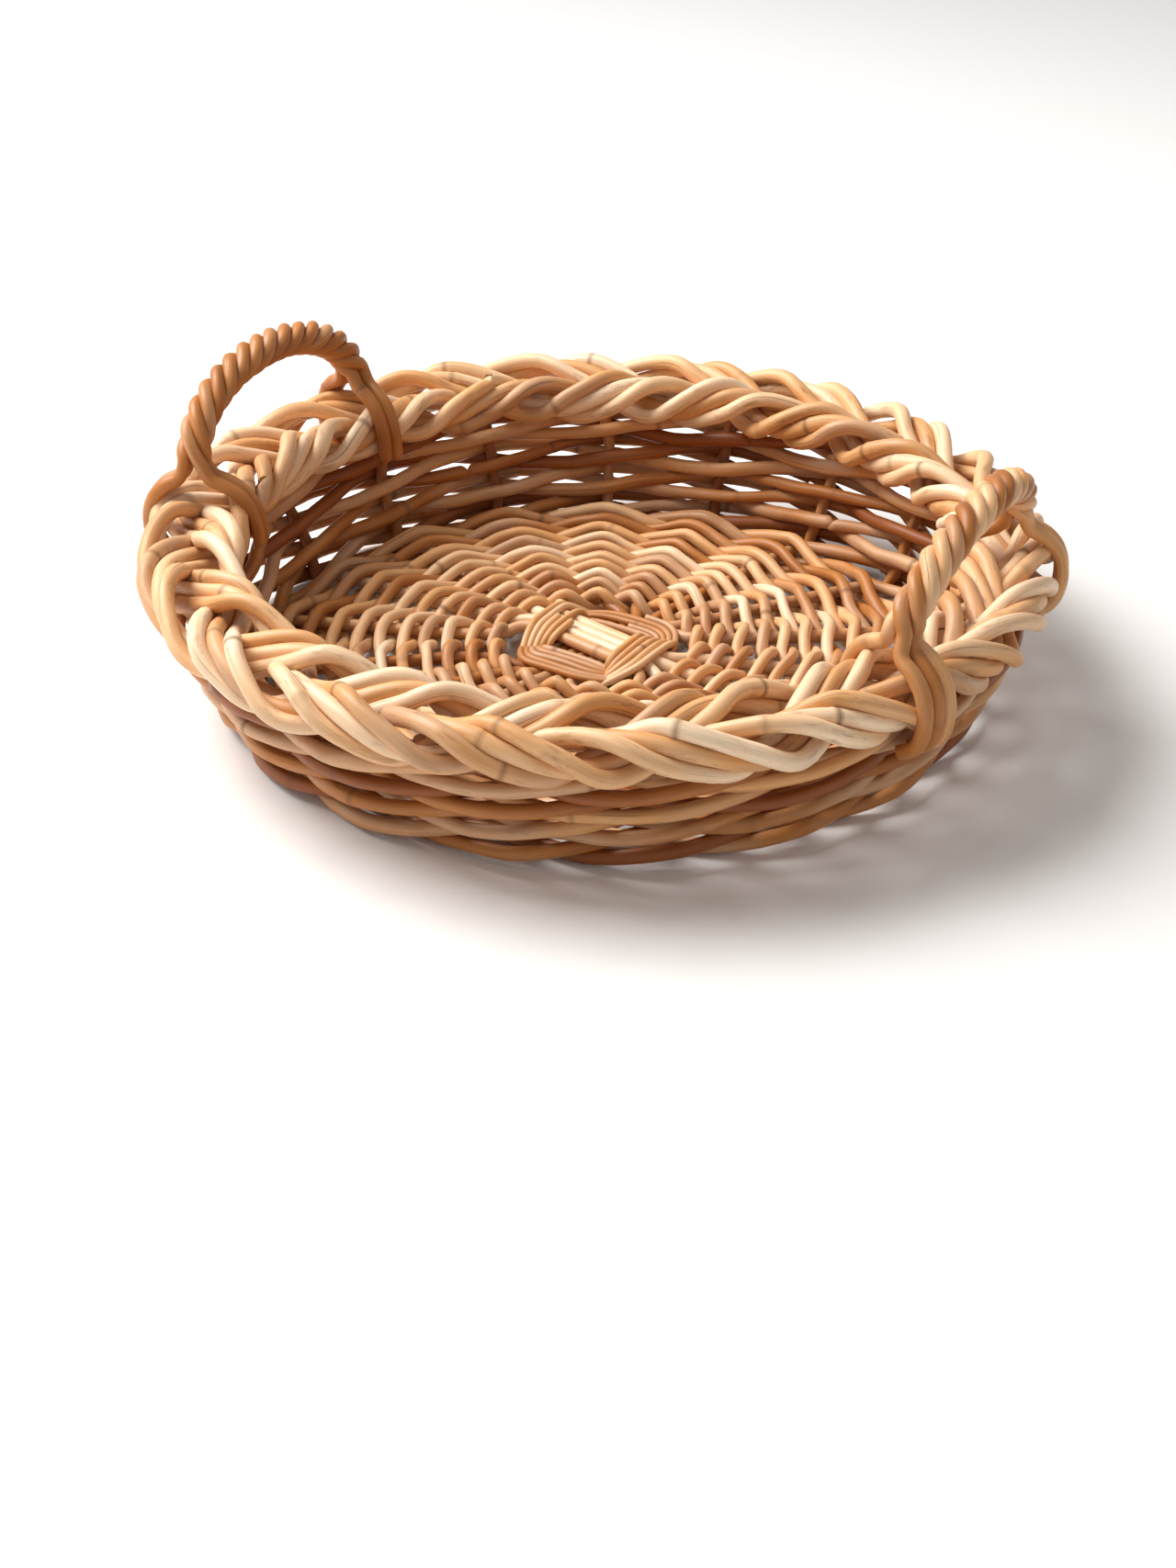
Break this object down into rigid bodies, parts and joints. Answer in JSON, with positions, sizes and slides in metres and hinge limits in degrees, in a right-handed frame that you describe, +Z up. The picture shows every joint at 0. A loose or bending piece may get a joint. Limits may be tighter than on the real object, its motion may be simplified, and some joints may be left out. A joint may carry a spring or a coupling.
{
  "type": "wicker basket",
  "caption": "Low round basket of woven cane with flaring sides, a plaited border and two arched rope handles.",
  "frame": {"origin": "centre of the basket on the surface that it stands on", "axes": "+Z up, +X through the middle of one handle and -X through the other, +Y along the open side between them"},
  "size_m": [0.3978, 0.3967, 0.1242],
  "materials": {
    "base_sticks": "peeled cane, satin",
    "base_weave": "peeled cane, satin",
    "side_stakes": "peeled cane, satin",
    "side_weave": "peeled cane, satin",
    "border_plait": "peeled cane, satin",
    "handle_rope": "peeled cane, satin"
  },
  "bodies": {
    "root": {"base_stick_upper_1": "base_sticks", "base_stick_upper_2": "base_sticks", "base_stick_upper_3": "base_sticks", "base_stick_upper_4": "base_sticks", "base_stick_lower_1": "base_sticks", "base_stick_lower_2": "base_sticks", "base_stick_lower_3": "base_sticks", "base_stick_lower_4": "base_sticks", "base_stick_lower_5": "base_sticks", "base_tie_1": "base_weave", "base_tie_2": "base_weave", "base_row_01": "base_weave", "base_row_02": "base_weave", "base_row_03": "base_weave", "base_row_04": "base_weave", "base_row_05": "base_weave", "base_row_06": "base_weave", "base_row_07": "base_weave", "base_row_08": "base_weave", "base_row_09": "base_weave", "base_row_10": "base_weave", "side_stakes": "side_stakes", "upsett_rod_1": "side_weave", "upsett_rod_2": "side_weave", "upsett_rod_3": "side_weave", "wale_row_1_rod_1": "side_weave", "wale_row_1_rod_2": "side_weave", "wale_row_1_rod_3": "side_weave", "wale_row_2_rod_1": "side_weave", "wale_row_2_rod_2": "side_weave", "wale_row_2_rod_3": "side_weave", "wale_row_3_rod_1": "side_weave", "wale_row_3_rod_2": "side_weave", "wale_row_3_rod_3": "side_weave", "border_strand_1_rod_1": "border_plait", "border_strand_1_rod_2": "border_plait", "border_strand_1_rod_3": "border_plait", "border_strand_2_rod_1": "border_plait", "border_strand_2_rod_2": "border_plait", "border_strand_2_rod_3": "border_plait", "border_strand_3_rod_1": "border_plait", "border_strand_3_rod_2": "border_plait", "border_strand_3_rod_3": "border_plait", "right_handle_rod_1": "handle_rope", "right_handle_rod_2": "handle_rope", "right_handle_rod_3": "handle_rope", "right_handle_rod_4": "handle_rope", "left_handle_rod_1": "handle_rope", "left_handle_rod_2": "handle_rope", "left_handle_rod_3": "handle_rope", "left_handle_rod_4": "handle_rope"}
  },
  "joints": []
}
